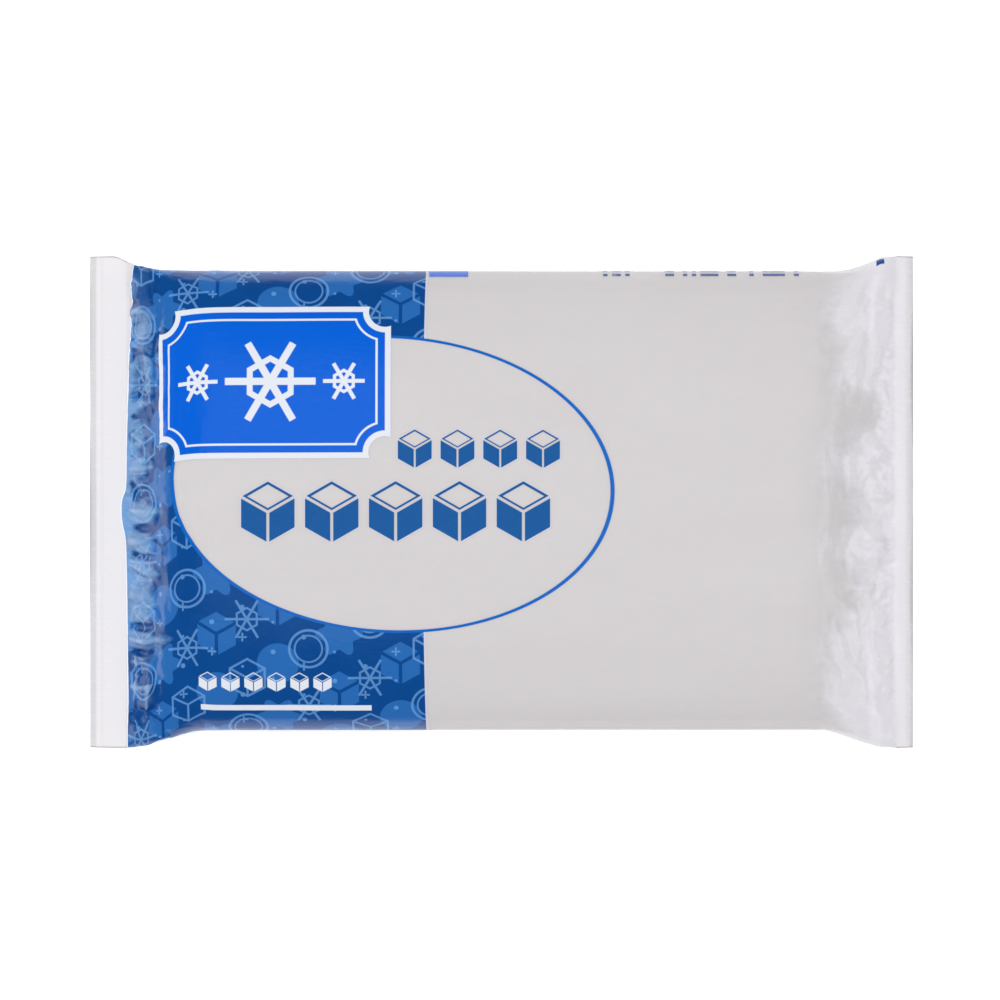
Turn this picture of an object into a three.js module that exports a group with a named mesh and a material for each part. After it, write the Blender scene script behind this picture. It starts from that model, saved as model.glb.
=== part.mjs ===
// A two-kilogram bag of sugar in a printed plastic film bag, lying on its back.
//
// Lengths are in millimetres. X runs along the bag, from the printed end at -X to the
// plain end at +X. Y runs across it and Z is up. The origin is in the middle of the bag's
// outline, on the surface that the bag lies on.
//
// The bag is a tube of film, pressed flat and sealed across at both ends and filled tight
// in between. Its width falls and its height grows from each seal towards the middle, and
// the film gathers into short folds that start at the seals.

import * as THREE from 'three';
import { LoftGeometry } from 'three/addons/geometries/LoftGeometry.js';

const { clamp, lerp, smoothstep, seededRandom } = THREE.MathUtils;

// Driving dimensions
const overallLength = 350;
const flatWidth = 208.8; // of the film tube pressed flat, as it is in both seals
const bodyWidth = 194.4; // of the filled part
const bodyHeight = 45;
const edgeHeight = 19; // of the bag's side edges over the surface
const finThickness = 0.8;

// Each end: the seal's fin and how it hangs, the length over which the bag grows to its
// full height, and between which distances from the seal each flared corner narrows. One
// whose early is below 1 narrows most at its start. The far corner is at +Y.
const leftEnd = {
	finLength: 15.7, sealHeight: 18, finDroop: 3.5, shoulder: 49,
	farCorner: { from: - 4, to: 31, early: 0.44 },
	nearCorner: { from: 9, to: 30, early: 1 },
};
const rightEnd = {
	finLength: 6.8, sealHeight: 18.5, finDroop: 2.5, shoulder: 46,
	farCorner: { from: 7, to: 28, early: 0.6 },
	nearCorner: { from: 5, to: 34, early: 1 },
};

// Cross-section: how square the crown and the underside are, and how hard it is pressed flat
const crownPower = 2.6;
const undersidePower = 3.2;
const undersidePress = 1.2; // depth below the edge if nothing stopped it, over edgeHeight
const finPower = 24;
const roundingLength = 12; // from a fin's section to a fully rounded one
const shoulderPower = 2.5; // how quickly an end rises from its seal to the full height

// Soft unevenness of the settled sugar: height, wavelengths over 2 pi along X and Y, phase
const swells = [
	{ height: 0.35, alongX: 37, alongY: 31, phase: 0.6 },
	{ height: 0.2, alongX: 17, alongY: - 23, phase: 1.1 },
	{ height: 0.15, alongX: 11, alongY: 13, phase: 1.6 },
];
const finWave = { height: 0.9, short: 19, long: 47 }; // across the fins, and its wavelengths

// Facets
const pointsAcross = 48; // on each face, edge to edge
const edgeCrowding = 0.6; // 0 spaces them evenly, 1 as a circle's are
const stepsInFin = 2;
const stepsInGathers = 18;
const gatherZone = 40; // length next to each seal that has the close-set sections
const stepsInBody = 14;

// The deeper folds of the upper film: where each leaves the seal (y), how far it runs
// inward, its half width, its height (a dip is negative) and how far it slants in Y
const leftFolds = [
	{ y: 15, run: 20, half: 5.0, height: 1.6, slant: 2 },
	{ y: 6, run: 22, half: 5.0, height: -1.8, slant: 1 },
	{ y: -3, run: 26, half: 5.5, height: 2.2, slant: -1 },
	{ y: -11, run: 22, half: 5.0, height: -1.9, slant: -2 },
	{ y: -19, run: 18, half: 5.0, height: 1.5, slant: -3 },
	{ y: -25, run: 34, half: 5.0, height: -2.0, slant: -8 },
	{ y: -56, run: 14, half: 5.5, height: 1.6, slant: -2 },
	{ y: -78, run: 24, half: 5.0, height: 1.7, slant: 3 },
	{ y: -89, run: 26, half: 4.5, height: -1.8, slant: 4 },
	{ y: 84, run: 24, half: 5.0, height: 1.4, slant: -4 },
];
const rightFolds = [
	{ y: 2, run: 18, half: 5.0, height: 1.3, slant: 1 },
	{ y: -8, run: 26, half: 5.0, height: -1.8, slant: -1 },
	{ y: -17, run: 28, half: 5.0, height: 2.0, slant: -1 },
	{ y: -26, run: 24, half: 5.0, height: -1.7, slant: -2 },
	{ y: -35, run: 32, half: 5.0, height: 1.8, slant: -1 },
	{ y: -66, run: 18, half: 5.0, height: 1.3, slant: 2 },
	{ y: -84, run: 24, half: 5.0, height: -1.5, slant: 3 },
	{ y: 62, run: 16, half: 5.5, height: 1.2, slant: -2 },
	{ y: 86, run: 22, half: 5.0, height: -1.3, slant: -4 },
];
const foldRise = 8; // a fold reaches its height this far from the seal
const foldHold = 0.35; // and keeps it for this share of its run
const smallFolds = 13; // on each face at each end
const foldSeed = 41;

// Short folds spread along a seal, with a seeded random size and place
function spreadFolds( count ) {

	const pitch = bodyWidth / count;
	const folds = [];

	for ( let i = 0; i < count; i ++ ) {

		const sign = i % 2 ? 1 : - 1;

		folds.push( {
			y: - bodyWidth / 2 + pitch * ( i + 0.25 + 0.5 * seededRandom() ),
			run: lerp( 12, 24, seededRandom() ),
			half: lerp( 4.5, 6.5, seededRandom() ),
			height: sign * lerp( 0.4, 1.0, seededRandom() ),
			slant: lerp( - 3, 3, seededRandom() ),
		} );

	}

	return folds;

}

seededRandom( foldSeed );
leftEnd.upperFolds = [ ...leftFolds, ...spreadFolds( smallFolds ) ];
leftEnd.lowerFolds = spreadFolds( smallFolds );
rightEnd.upperFolds = [ ...rightFolds, ...spreadFolds( smallFolds ) ];
rightEnd.lowerFolds = spreadFolds( smallFolds );

// Height that the folds add to a face at y, a distance inset inward from the seal
function foldHeight( folds, inset, y ) {

	let height = 0;

	for ( const fold of folds ) {

		const along = inset / fold.run;
		const offset = Math.abs( y - fold.y - fold.slant * along ) / fold.half;

		if ( along >= 1 || offset >= 1 ) continue;

		const fade = smoothstep( inset, 0, foldRise ) * ( 1 - smoothstep( along, foldHold, 1 ) );
		height += fold.height * fade * ( 1 + Math.cos( Math.PI * offset ) ) / 2;

	}

	return height;

}

// Broad, shallow rises and dips of the sugar under the film
function swell( x, y ) {

	return swells.reduce( ( sum, wave ) =>
		sum + wave.height * Math.sin( x / wave.alongX + y / wave.alongY + wave.phase ), 0 );

}

// The fins lie in soft waves, deeper towards their tips
function finRipple( side, outward, y ) {

	return finWave.height * outward * Math.sin( y / finWave.short + side ) * Math.cos( y / finWave.long );

}

// Distance from the middle line to one side edge, a distance inset inward from the seal
function halfWidthAt( corner, inset ) {

	const along = clamp( ( inset - corner.from ) / ( corner.to - corner.from ), 0, 1 );

	return lerp( flatWidth, bodyWidth, smoothstep( along ** corner.early, 0, 1 ) ) / 2;

}

// Height of a face over its edges, as a share of its crown's
function dome( across, power ) {

	return Math.sqrt( 1 - Math.abs( across ) ** power );

}

// One cross-section, as a ring of points, at a distance inset inward from an end's seal.
// A negative inset is in the fin. side is -1 for the left end and 1 for the right one.
function sectionAt( end, side, inset ) {

	const x = side * ( overallLength / 2 - end.finLength - inset );
	const outward = Math.max( - inset / end.finLength, 0 );
	const full = 1 - ( 1 - clamp( inset / end.shoulder, 0, 1 ) ) ** shoulderPower;
	const rounding = smoothstep( inset, 0, roundingLength );
	const upPower = lerp( finPower, crownPower, rounding );
	const downPower = lerp( finPower, undersidePower, rounding );
	const halfFilm = Math.min( inset + end.finLength, finThickness / 2 ); // none at the fin's tip
	const rise = ( bodyHeight - edgeHeight ) * full + halfFilm;
	const fall = edgeHeight * undersidePress * full + halfFilm;
	const middle = lerp( end.sealHeight, edgeHeight, full ) - end.finDroop * outward ** 2;
	const points = [];

	for ( let i = 0; i < 2 * pointsAcross; i ++ ) {

		// once round the ring: the upper face from +Y to -Y, then the lower face back
		const upper = i < pointsAcross;
		const step = i % pointsAcross / pointsAcross;
		const across = ( upper ? 1 : - 1 ) * lerp( 1 - 2 * step, Math.cos( Math.PI * step ), edgeCrowding );
		const y = across * halfWidthAt( across > 0 ? end.farCorner : end.nearCorner, inset );
		const edge = middle + finRipple( side, outward, y );
		let z;

		if ( upper ) {

			z = edge + dome( across, upPower )
				* ( rise + foldHeight( end.upperFolds, inset, y ) + full * swell( x, y ) );

		} else {

			z = edge - dome( across, downPower ) * ( fall + foldHeight( end.lowerFolds, inset, y ) );

		}

		points.push( new THREE.Vector3( x, y, Math.max( z, 0 ) ) );

	}

	return points;

}

// Distances inward from a seal at which one end has its sections, from the fin's tip,
// where the film's two faces meet in an edge, to the last close-set one
function insets( end ) {

	const flatFin = end.finLength - finThickness / 2;
	const list = [ - end.finLength ];

	for ( let i = 0; i < stepsInFin; i ++ ) list.push( - flatFin * ( 1 - i / stepsInFin ) );

	for ( let i = 0; i <= stepsInGathers; i ++ ) list.push( gatherZone * i / stepsInGathers );

	return list;

}

// The whole bag, lofted through its sections from the left fin's tip to the right one's
function bagGeometry() {

	const left = insets( leftEnd );
	const right = insets( rightEnd ).reverse();
	const innerLeft = leftEnd.finLength + gatherZone;
	const innerRight = rightEnd.finLength + gatherZone;
	const bodyStep = ( overallLength - innerLeft - innerRight ) / stepsInBody;
	const sections = left.map( ( inset ) => sectionAt( leftEnd, - 1, inset ) );

	for ( let i = 1; i < stepsInBody; i ++ ) {

		const fromLeft = innerLeft + bodyStep * i;
		const nearLeft = fromLeft < overallLength / 2;
		const end = nearLeft ? leftEnd : rightEnd;
		const inset = ( nearLeft ? fromLeft : overallLength - fromLeft ) - end.finLength;
		sections.push( sectionAt( end, nearLeft ? - 1 : 1, inset ) );

	}

	sections.push( ...right.map( ( inset ) => sectionAt( rightEnd, 1, inset ) ) );

	return new LoftGeometry( sections ); // both faces meet at the tips, which closes it

}

// Thin milky polyethylene over white sugar
const filmMaterial = new THREE.MeshStandardMaterial( { color: 0xd8d4d5, roughness: 0.35, metalness: 0 } );

const bag = new THREE.Mesh( bagGeometry(), filmMaterial );
bag.name = 'sugar_bag';

const part = new THREE.Group();
part.name = 'bag_of_sugar';
part.add( bag );

export default part;
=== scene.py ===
# Two kilograms of white sugar in a bag of thin printed film, lying on its back.
# The film is a tube, welded flat across at both ends. Metres; +X runs to the plain end.

import math

import bmesh
import bpy
import numpy as np
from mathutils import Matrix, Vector, noise
from mathutils.bvhtree import BVHTree


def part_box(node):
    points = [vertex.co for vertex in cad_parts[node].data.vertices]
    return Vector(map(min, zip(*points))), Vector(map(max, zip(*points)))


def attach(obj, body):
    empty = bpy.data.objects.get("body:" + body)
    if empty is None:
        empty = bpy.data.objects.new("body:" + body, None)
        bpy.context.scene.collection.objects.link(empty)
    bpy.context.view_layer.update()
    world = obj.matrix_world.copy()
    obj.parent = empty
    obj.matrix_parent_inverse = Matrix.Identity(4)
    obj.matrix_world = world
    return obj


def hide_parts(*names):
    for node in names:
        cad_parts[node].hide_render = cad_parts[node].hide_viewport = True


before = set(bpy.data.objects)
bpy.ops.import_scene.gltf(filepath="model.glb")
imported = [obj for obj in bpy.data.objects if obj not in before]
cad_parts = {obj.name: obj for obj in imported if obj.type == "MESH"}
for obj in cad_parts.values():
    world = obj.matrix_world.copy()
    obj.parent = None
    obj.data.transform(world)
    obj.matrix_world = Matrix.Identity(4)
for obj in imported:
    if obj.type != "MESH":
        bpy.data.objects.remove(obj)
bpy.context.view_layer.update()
bagLow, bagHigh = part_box("sugar_bag")
mm = 0.001
nought = 1e-6  # a length below this is rounding


# sizes that the film and the sugar share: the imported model's, apart from the thinner fins,
# the shift and the near left corner
flatWidth = bagHigh.y - bagLow.y  # the tube pressed flat, as it is in both welds
bag = {
    "bodyWidth": 0.1944,
    "bodyShift": 0.0006,  # of the filled part to the far side, from the middle of the welds
    "bodyHeight": 0.045,
    "edgeHeight": 0.019,  # of the side edges over the floor
    "crownPower": 2.6,
    "undersidePower": 3.2,
    "undersidePress": 1.2,
    "finPower": 24,
    "roundingLength": 0.012,
    "shoulderPower": 2.5,
    "halfFin": 0.00015,  # half the thickness of two layers of film
    "finWave": (0.0009, 0.019, 0.047),  # height, then its two wavelengths over 2 pi
    "swells": (  # height, wavelengths over 2 pi along X and Y, phase
        (0.00035, 0.037, 0.031, 0.6),
        (0.00020, 0.017, -0.023, 1.1),
        (0.00015, 0.011, 0.013, 1.6),
    ),
    "outlinePoints": 400,  # on each face, to measure the way round
}
leftEnd = {
    "seal": bagLow.x + 0.0157,  # x of the weld's inner edge
    "tip": bagLow.x,
    "inward": 1,
    "sealHeight": 0.018,
    "droop": 0.0035,
    "shoulder": 0.049,
    "farCorner": (-0.004, 0.031, 0.44),  # where it starts and stops narrowing, and how early
    "nearCorner": (0.002, 0.033, 1.0),
}
rightEnd = {
    "seal": bagHigh.x - 0.0068,
    "tip": bagHigh.x,
    "inward": -1,
    "sealHeight": 0.0185,
    "droop": 0.0025,
    "shoulder": 0.046,
    "farCorner": (0.007, 0.028, 0.6),
    "nearCorner": (0.005, 0.034, 1.0),
}
ends = (leftEnd, rightEnd)


def smooth(t):
    t = np.clip(t, 0, 1)
    return t * t * (3 - 2 * t)


def blend(a, b, t):
    return a + (b - a) * t


def halfWidthAt(corner, inset, shift):
    start, stop, early = corner
    along = np.clip((inset - start) / (stop - start), 0, 1) ** early
    return blend(flatWidth / 2, bag["bodyWidth"] / 2 + shift, smooth(along))


# the tube's y, upper height and lower height at x, for across from -1 at the near side
# edge to 1 at the far one
def bagSurface(x, across):
    x, across = np.broadcast_arrays(np.asarray(x, float), np.asarray(across, float))
    y, upper, lower = np.zeros(x.shape), np.zeros(x.shape), np.zeros(x.shape)
    waveHeight, shortWave, longWave = bag["finWave"]
    for end in ends:
        here = x < 0 if end is leftEnd else x >= 0
        side = across[here]
        inset = end["inward"] * (x[here] - end["seal"])  # negative in the fin
        finLength = abs(end["tip"] - end["seal"])
        outward = np.maximum(-inset, 0) / finLength
        full = 1 - (1 - np.clip(inset / end["shoulder"], 0, 1)) ** bag["shoulderPower"]
        rounding = smooth(inset / bag["roundingLength"])
        crown = blend(bag["finPower"], bag["crownPower"], rounding)
        underside = blend(bag["finPower"], bag["undersidePower"], rounding)
        far = halfWidthAt(end["farCorner"], inset, bag["bodyShift"])
        near = halfWidthAt(end["nearCorner"], inset, -bag["bodyShift"])
        y[here] = side * np.where(side > 0, far, near)
        wave = waveHeight * np.sin(y[here] / shortWave - end["inward"]) * np.cos(y[here] / longWave)
        edge = blend(end["sealHeight"], bag["edgeHeight"], full) - end["droop"] * outward**2
        edge = edge + wave * outward
        swell = sum(
            height * np.sin(x[here] / alongX + y[here] / alongY + phase)
            for height, alongX, alongY, phase in bag["swells"]
        )
        halfFin = np.clip(inset + finLength, 0, bag["halfFin"])
        rise = (bag["bodyHeight"] - bag["edgeHeight"] + swell) * full + halfFin
        fall = bag["edgeHeight"] * bag["undersidePress"] * full + halfFin
        upper[here] = edge + np.sqrt(np.clip(1 - abs(side) ** crown, 0, 1)) * rise
        lower[here] = edge - np.sqrt(np.clip(1 - abs(side) ** underside, 0, 1)) * fall
    return y, upper, np.maximum(lower, 0)


# share of the way over a face, from the near side edge to the far one, for a distance
# round the flat film from the middle line of its upper face
def shareOver(around):
    onTop = abs(around) <= flatWidth / 2
    below = np.where(around > 0, 1.5 - around / flatWidth, -around / flatWidth - 0.5)
    return onTop, np.where(onTop, around / flatWidth + 0.5, below)


# places on the tube's outline at x, for distances round the flat film
def ringAt(x, around):
    across = -np.cos(np.linspace(0, math.pi, bag["outlinePoints"]))
    y, upper, lower = bagSurface(x, across)
    onTop, share = shareOver(around)
    places = np.full((len(around), 3), x)
    for face, height in ((onTop, upper), (~onTop, lower)):
        path = np.concatenate([[0], np.cumsum(np.hypot(np.diff(y), np.diff(height)))])
        places[face, 1] = np.interp(share[face] * path[-1], path, y)
        places[face, 2] = np.interp(share[face] * path[-1], path, height)
    return places


# film tube
film = {
    "slack": 0.008,  # more film between the welds than the straight distance
    "pathPoints": 2000,  # to measure the way along it
    "segmentsOver": 140,  # across the upper face
    "segmentsUnder": 25,  # across each half of the lower face
    "finRows": (9, 5),  # in the left and the right fin
    "gatherLength": 0.045,  # next to each weld, with close-set rows
    "gatherStep": 0.0015,
    "bodyStep": 0.006,
    "foldRise": 0.008,  # a fold reaches its height this far from the weld
    "foldHold": 0.35,  # and keeps it for this share of its run
    "smallFolds": 13,  # on each face at each end
    "foldPlace": (0.25, 0.75),  # of each, as a share of their pitch
    "foldSizes": ((12, 24), (4.5, 6.5), (0.4, 1.0), (-3, 3)),  # ranges of run, half, height, slant
    "lowerShare": 0.6,  # of a fold's height, on the lower face
    "crumple": 0.0014,  # height of the unevenness that the film starts to settle from
    "crumpleNoise": ((140, 140, 3), (300, 300, 8)),  # coarse and fine, as unevenness() has them
    "crumpleReach": 0.030,
    "fineShare": 0.6,  # of the finer noise in any unevenness
    "edgeClear": 0.010,  # folds fade out this near the side edges
    "edgeWidth": 0.0001,  # what counts as the side edge
    "loose": (0.045, 0.030),  # spare share of the girth beside the left and the right weld
    "looseReach": 0.036,
    "tightEdge": 0.030,  # the spare girth fades out this near the side edges
    "heldCorner": (0.003, 0.022),  # distances from a corner where the film is held, then free
    "foldedLength": 0.012,  # of the sharp side edges, inward from each weld
    "seamHalf": 0.006,  # half the width of the lap seam along the underside
    "seamStep": 0.0006,
    "mergeDistance": 0.00001,
    "seed": 41,
}
# the deeper folds, in millimetres: where each leaves the weld, how far it runs, its half
# width, its height (a dip is negative) and its slant
leftFolds = (
    (84, 24, 5.0, 1.4, -4),
    (15, 20, 5.0, 1.6, 2),
    (6, 22, 5.0, -1.8, 1),
    (-2, 26, 5.5, 2.2, -1),
    (-9, 20, 4.5, -1.7, -1),
    (-15, 16, 4.5, 1.6, 0),
    (-20, 30, 4.0, -2.0, -4),
    (-25, 26, 4.0, 1.6, -5),
    (-38, 20, 12.0, 1.5, 0),
    (-51.5, 26, 3.5, -1.8, 0),
    (-57, 36, 3.6, 2.0, 0),
    (-62, 26, 4.0, -1.4, 0),
    (-78, 24, 5.0, 1.7, 3),
    (-89, 26, 4.5, -1.8, 4),
)
rightFolds = (
    (2, 18, 5.0, 1.3, 1),
    (-8, 26, 5.0, -1.8, -1),
    (-17, 28, 5.0, 2.0, -1),
    (-26, 24, 5.0, -1.7, -2),
    (-35, 32, 5.0, 1.8, -1),
    (-66, 18, 5.0, 1.3, 2),
    (-84, 24, 5.0, -1.5, 3),
    (62, 16, 5.5, 1.2, -2),
    (86, 22, 5.0, -1.3, -4),
)

pathX = np.linspace(leftEnd["seal"], rightEnd["seal"], film["pathPoints"])
pathHeight = bagSurface(pathX, 0)[1]
crownPath = np.concatenate([[0], np.cumsum(np.hypot(np.diff(pathX), np.diff(pathHeight)))])
sealToSeal = rightEnd["seal"] - leftEnd["seal"] + film["slack"]  # along the flat film


# x on the filled bag for a distance along the flat film from the left weld
def xAlong(along):
    inside = np.interp(along / sealToSeal * crownPath[-1], crownPath, pathX)
    beyond = np.where(along < 0, leftEnd["seal"] + along, rightEnd["seal"] + along - sealToSeal)
    return np.where((along < 0) | (along > sealToSeal), beyond, inside)


# a place on the flat film, along and around it, for a place seen from above
def flatAt(x, y):
    along = np.interp(x, pathX, crownPath) / crownPath[-1] * sealToSeal
    around = np.linspace(-flatWidth / 2, flatWidth / 2, bag["outlinePoints"])
    return along, float(np.interp(y, ringAt(x, around)[:, 1], around))


# a short fold of random size, as the deeper ones are listed; every other one is a dip
def shortFold(number, place, sizes):
    run, half, height, slant = sizes
    return (
        place,
        rng.uniform(*run),
        rng.uniform(*half),
        rng.uniform(*height) * (1 if number % 2 else -1),
        rng.uniform(*slant),
    )


def smallFolds():
    pitch = flatWidth / mm / film["smallFolds"]
    return tuple(
        shortFold(
            number,
            pitch * (number + rng.uniform(*film["foldPlace"])) - flatWidth / mm / 2,
            film["foldSizes"],
        )
        for number in range(film["smallFolds"])
    )


def foldHeight(folds, inset, around):
    height = np.zeros(inset.shape)
    for start, run, half, rise, slant in folds:
        along = inset / (run * mm)
        offset = abs(around - (start + slant * along) * mm) / (half * mm)
        fade = smooth(inset / film["foldRise"])
        fade = fade * (1 - smooth((along - film["foldHold"]) / (1 - film["foldHold"])))
        bump = (1 + np.cos(math.pi * np.clip(offset, 0, 1))) / 2
        height += np.where(inset > 0, rise * mm * fade * bump, 0)
    return height


tubeRadius = flatWidth / math.pi


# a sheet rolled into a tube: a grid whose first direction runs along it and whose second
# goes round it, kept in the UV map flatFilm as metres of flat film
def rolledSheet(name, rows, rounds):
    sheet = bmesh.new()
    flatMap = sheet.loops.layers.uv.new("flatFilm")
    bmesh.ops.create_grid(
        sheet, x_segments=len(rows) - 1, y_segments=len(rounds) - 1, size=1, calc_uvs=True
    )
    rowSteps = np.linspace(0, 1, len(rows))
    roundSteps = np.linspace(0, 1, len(rounds))
    for face in sheet.faces:
        for loop in face.loops:
            along, around = loop[flatMap].uv
            flat = (np.interp(along, rowSteps, rows), np.interp(around, roundSteps, rounds))
            loop[flatMap].uv = flat
    for vert in sheet.verts:
        angle = np.interp((vert.co.y + 1) / 2, roundSteps, rounds) / tubeRadius
        along = np.interp((vert.co.x + 1) / 2, rowSteps, rows)
        vert.co = (along, tubeRadius * math.sin(angle), tubeRadius * math.cos(angle))
    bmesh.ops.remove_doubles(sheet, verts=sheet.verts, dist=film["mergeDistance"])
    mesh = bpy.data.meshes.new(name)
    sheet.to_mesh(mesh)
    sheet.free()
    piece = bpy.data.objects.new(name, mesh)
    bpy.context.collection.objects.link(piece)
    return piece


def placesOf(mesh):
    places = np.empty(len(mesh.vertices) * 3, np.float32)
    mesh.vertices.foreach_get("co", places)
    return places.reshape(-1, 3).astype(float)


def setPlaces(mesh, places):
    mesh.vertices.foreach_set("co", np.asarray(places, np.float32).ravel())
    mesh.update()


def normalsOf(mesh):
    normals = np.empty(len(mesh.vertices) * 3, np.float32)
    mesh.vertices.foreach_get("normal", normals)
    return normals.reshape(-1, 3).astype(float)


def filmRows():
    gather = np.arange(0, film["gatherLength"], film["gatherStep"])
    bodyEnd = sealToSeal - film["gatherLength"]
    bodySteps = round((bodyEnd - film["gatherLength"]) / film["bodyStep"])
    leftLength = leftEnd["seal"] - leftEnd["tip"]
    rightLength = rightEnd["tip"] - rightEnd["seal"]
    return np.concatenate([
        np.linspace(-leftLength, 0, film["finRows"][0])[:-1],
        gather,
        np.linspace(film["gatherLength"], bodyEnd, bodySteps + 1)[:-1],
        sealToSeal - gather[::-1],
        np.linspace(sealToSeal, sealToSeal + rightLength, film["finRows"][1])[1:],
    ])


def filmRounds():
    under = np.linspace(flatWidth / 2, flatWidth, film["segmentsUnder"] + 1)[1:]
    seamEdge = flatWidth - film["seamHalf"]
    under = np.sort(np.append(under, [seamEdge - film["seamStep"], seamEdge]))
    over = np.linspace(-flatWidth / 2, flatWidth / 2, film["segmentsOver"] + 1)
    return np.concatenate([-under[::-1], over, under])


filmTube = rolledSheet("filmTube", filmRows(), filmRounds())
rolled = placesOf(filmTube.data)
along = rolled[:, 0]
around = np.arctan2(rolled[:, 1], rolled[:, 2]) * tubeRadius
inset = np.minimum(along, sealToSeal - along)
rng = np.random.default_rng(film["seed"])
upperFolds = {"left": leftFolds + smallFolds(), "right": rightFolds + smallFolds()}
lowerFolds = {"left": smallFolds(), "right": smallFolds()}


# two octaves of noise over the flat film, each with its waves a metre along and around it
# and its slice of the noise
def unevenness(along, around, coarse, fine):
    def octave(a, b, scales):
        return noise.noise(Vector((a * scales[0], b * scales[1], scales[2])))

    return np.array([
        octave(a, b, coarse) + film["fineShare"] * octave(a, b, fine) for a, b in zip(along, around)
    ])


# distance round the flat film from the nearer side edge
def fromSideEdge(around):
    return flatWidth / 2 - abs(shareOver(around)[1] - 0.5) * flatWidth


# how far folds and crumples lift the film off its plain shape, at the start
def gathers(along, around):
    onTop, share = shareOver(around)
    inset = np.minimum(along, sealToSeal - along)
    lift = np.zeros(along.shape)
    for onLeft, side in ((along < sealToSeal / 2, "left"), (along >= sealToSeal / 2, "right")):
        for face, folds, way in ((onTop, upperFolds, 1), (~onTop, lowerFolds, -film["lowerShare"])):
            here = onLeft & face
            level = share[here] * flatWidth - flatWidth / 2
            lift[here] = way * foldHeight(folds[side], inset[here], level)
    near = smooth(inset / film["foldRise"]) * np.exp(-np.maximum(inset, 0) / film["crumpleReach"])
    lift += film["crumple"] * unevenness(along, around, *film["crumpleNoise"]) * near
    return lift * smooth(fromSideEdge(around) / film["edgeClear"])


lift = gathers(along, around)
fromEdge = fromSideEdge(around)
restPlaces = rolled.copy()
loose = np.where(along < sealToSeal / 2, *film["loose"]) * smooth(fromEdge / film["tightEdge"])
loose = loose * smooth(inset / film["foldRise"]) * (1 - smooth(inset / film["looseReach"]))
restPlaces[:, 1:] *= (1 + lift / tubeRadius + loose)[:, None]
startPlaces = np.zeros(rolled.shape)
rowAlong, rowOf = np.unique(np.round(along, 6), return_inverse=True)
for row, distance in enumerate(rowAlong):
    mine = rowOf.ravel() == row
    startPlaces[mine] = ringAt(float(xAlong(distance)), around[mine])
startPlaces[:, 2] += lift
startPlaces[:, 2] = np.maximum(startPlaces[:, 2], 0)
setPlaces(filmTube.data, startPlaces)
folded = (fromEdge < film["edgeWidth"]) * (1 - smooth(inset / film["foldedLength"]))
edgeEnds = np.empty(len(filmTube.data.edges) * 2, np.int32)
filmTube.data.edges.foreach_get("vertices", edgeEnds)
folded = folded[edgeEnds].reshape(-1, 2).min(axis=1)
sharpEdges = filmTube.data.attributes.new("crease_edge", "FLOAT", "EDGE")
sharpEdges.data.foreach_set("value", folded.astype(np.float32))
print("film rolled:", len(along), "points")


# sugar
sugar = {
    "segmentsRound": 144,
    "rows": 110,
    "rowCrowding": 0.8,  # 0 spaces them evenly, 1 as a circle's are
    "gap": 0.0006,  # to the film, before the film settles on it
    "start": (0.005, 0.013),  # of the fill, inward from the left and the right weld
    "startWave": (0.003, 0.006),
    "startNoise": ((38, 1, 1.5), (120, 5, 0.5)),  # waves a metre, slice of the noise, share
    "sideStep": 7.3,  # between the noise of the two ends
    "rise": (0.018, 0.030),  # length over which it comes to its full height
    "fillPower": 2.2,
    "pinch": 0.035,  # how much narrower it is at its ends
    "grain": 0.00012,
    "grainScale": 900,  # a metre
    "fatten": 0.0005,
    "offFloor": (0.0003, 0.00035),  # before and after it gets its grain
    "mergeDistance": 0.00002,
    "tones": ("#dcd8d9", "#efedee"),
    "grainSize": 0.526,  # as it shows, in millimetres
    "grainBump": (0.5, 0.0003),  # strength, height
    "roughness": 0.55,
    "ior": 1.54,
}


def fillStart(side, y):
    shift = side * sugar["sideStep"]
    wave = sum(
        share * np.array([noise.noise(Vector((place * scale, shift, depth))) for place in y])
        for scale, depth, share in sugar["startNoise"]
    )
    return sugar["start"][side] + sugar["startWave"][side] * wave


def sugarPlaces(along, around):
    onTop, share = shareOver(around)
    across = -np.cos(math.pi * share)
    level = across * flatWidth / 2
    tips = [end["seal"] + end["inward"] * fillStart(side, level) for side, end in enumerate(ends)]
    x = blend(tips[0], tips[1], along)
    y, upper, lower = bagSurface(x, across)
    edge = bagSurface(x, np.ones(x.shape))[1]
    fill = np.ones(x.shape)
    for side, end in enumerate(ends):
        fromTip = np.clip(end["inward"] * (x - tips[side]) / sugar["rise"][side], 0, 1)
        fill = np.minimum(fill, 1 - (1 - fromTip) ** sugar["fillPower"])
    rise = np.maximum(upper - edge - sugar["gap"], 0) * fill
    fall = np.maximum(edge - lower - sugar["gap"], 0) * fill
    z = edge + np.where(onTop, rise, -fall)
    y = y * (1 - 2 * sugar["gap"] / flatWidth - sugar["pinch"] * (1 - fill))
    return np.stack([x, y, np.maximum(z, sugar["offFloor"][0])], axis=1)


sugarRows = (1 - np.cos(np.linspace(0, math.pi, sugar["rows"]))) / 2  # close-set at the ends
sugarRows = blend(np.linspace(0, 1, sugar["rows"]), sugarRows, sugar["rowCrowding"])
sugarRounds = np.linspace(-flatWidth, flatWidth, sugar["segmentsRound"] + 1)
sugarBody = rolledSheet("sugarFill", sugarRows, sugarRounds)
sugarFlat = placesOf(sugarBody.data)
sugarAround = np.arctan2(sugarFlat[:, 1], sugarFlat[:, 2]) * tubeRadius
setPlaces(sugarBody.data, sugarPlaces(sugarFlat[:, 0], sugarAround))
closing = bmesh.new()
closing.from_mesh(sugarBody.data)
bmesh.ops.remove_doubles(closing, verts=closing.verts, dist=sugar["mergeDistance"])
bmesh.ops.recalc_face_normals(closing, faces=closing.faces)
closing.to_mesh(sugarBody.data)
closing.free()
print("sugar filled:", len(sugarBody.data.vertices), "points")


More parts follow.
